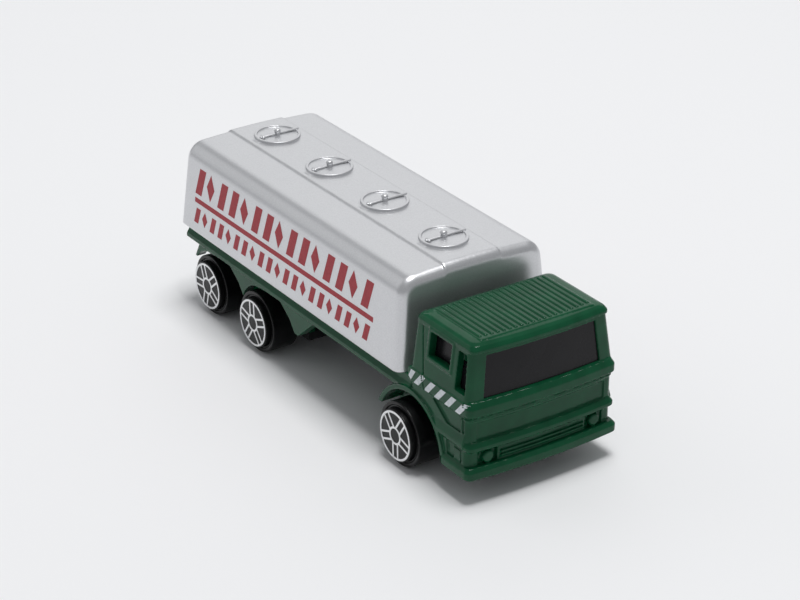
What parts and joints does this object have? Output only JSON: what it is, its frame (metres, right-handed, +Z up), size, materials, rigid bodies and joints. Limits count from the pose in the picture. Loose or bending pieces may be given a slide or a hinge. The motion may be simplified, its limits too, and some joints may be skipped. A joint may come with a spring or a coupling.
{
  "type": "die-cast toy tanker lorry",
  "caption": "Small die-cast toy road tanker: green forward-control cab and chassis, silver tank with hatches along the top, and wheels pressed on turning wire axles.",
  "frame": {"origin": "centre of the overall footprint at ground level, under the wheels", "axes": "+X forwards to the cab's bumper, +Y to the lorry's left side, +Z up"},
  "size_m": [0.076, 0.0288, 0.028],
  "materials": {
    "silver_paint": "satin silver paint",
    "green_paint": "gloss dark green enamel",
    "smoked_glazing": "dark tinted polystyrene, glossy",
    "black_plastic": "moulded black plastic",
    "rivet_steel": "plain steel",
    "axle_steel": "drawn steel wire",
    "wheel_plastic": "gloss black plastic",
    "silver_foil": "hot-stamped silver foil"
  },
  "bodies": {
    "lorry": {"tank_body": "silver_paint", "cab_chassis": "green_paint", "window_insert": "smoked_glazing", "base_plate": "black_plastic", "base_rivets": "rivet_steel"},
    "front_axle_set": {"front_axle": "axle_steel", "front_right_wheel": "wheel_plastic", "front_left_wheel": "wheel_plastic", "front_right_foil": "silver_foil", "front_left_foil": "silver_foil"},
    "middle_axle_set": {"middle_axle": "axle_steel", "middle_right_wheel": "wheel_plastic", "middle_left_wheel": "wheel_plastic", "middle_right_foil": "silver_foil", "middle_left_foil": "silver_foil"},
    "rear_axle_set": {"rear_axle": "axle_steel", "rear_right_wheel": "wheel_plastic", "rear_left_wheel": "wheel_plastic", "rear_right_foil": "silver_foil", "rear_left_foil": "silver_foil"}
  },
  "joints": [
    {"name": "front_axle_spin", "type": "hinge", "parent": "lorry", "child": "front_axle_set", "pos_m": [0.023, 0, 0.0047], "axis": [0, 1, 0], "continuous": true},
    {"name": "middle_axle_spin", "type": "hinge", "parent": "lorry", "child": "middle_axle_set", "pos_m": [-0.0164, 0, 0.0047], "axis": [0, 1, 0], "continuous": true},
    {"name": "rear_axle_spin", "type": "hinge", "parent": "lorry", "child": "rear_axle_set", "pos_m": [-0.03075, 0, 0.0047], "axis": [0, 1, 0], "continuous": true}
  ]
}
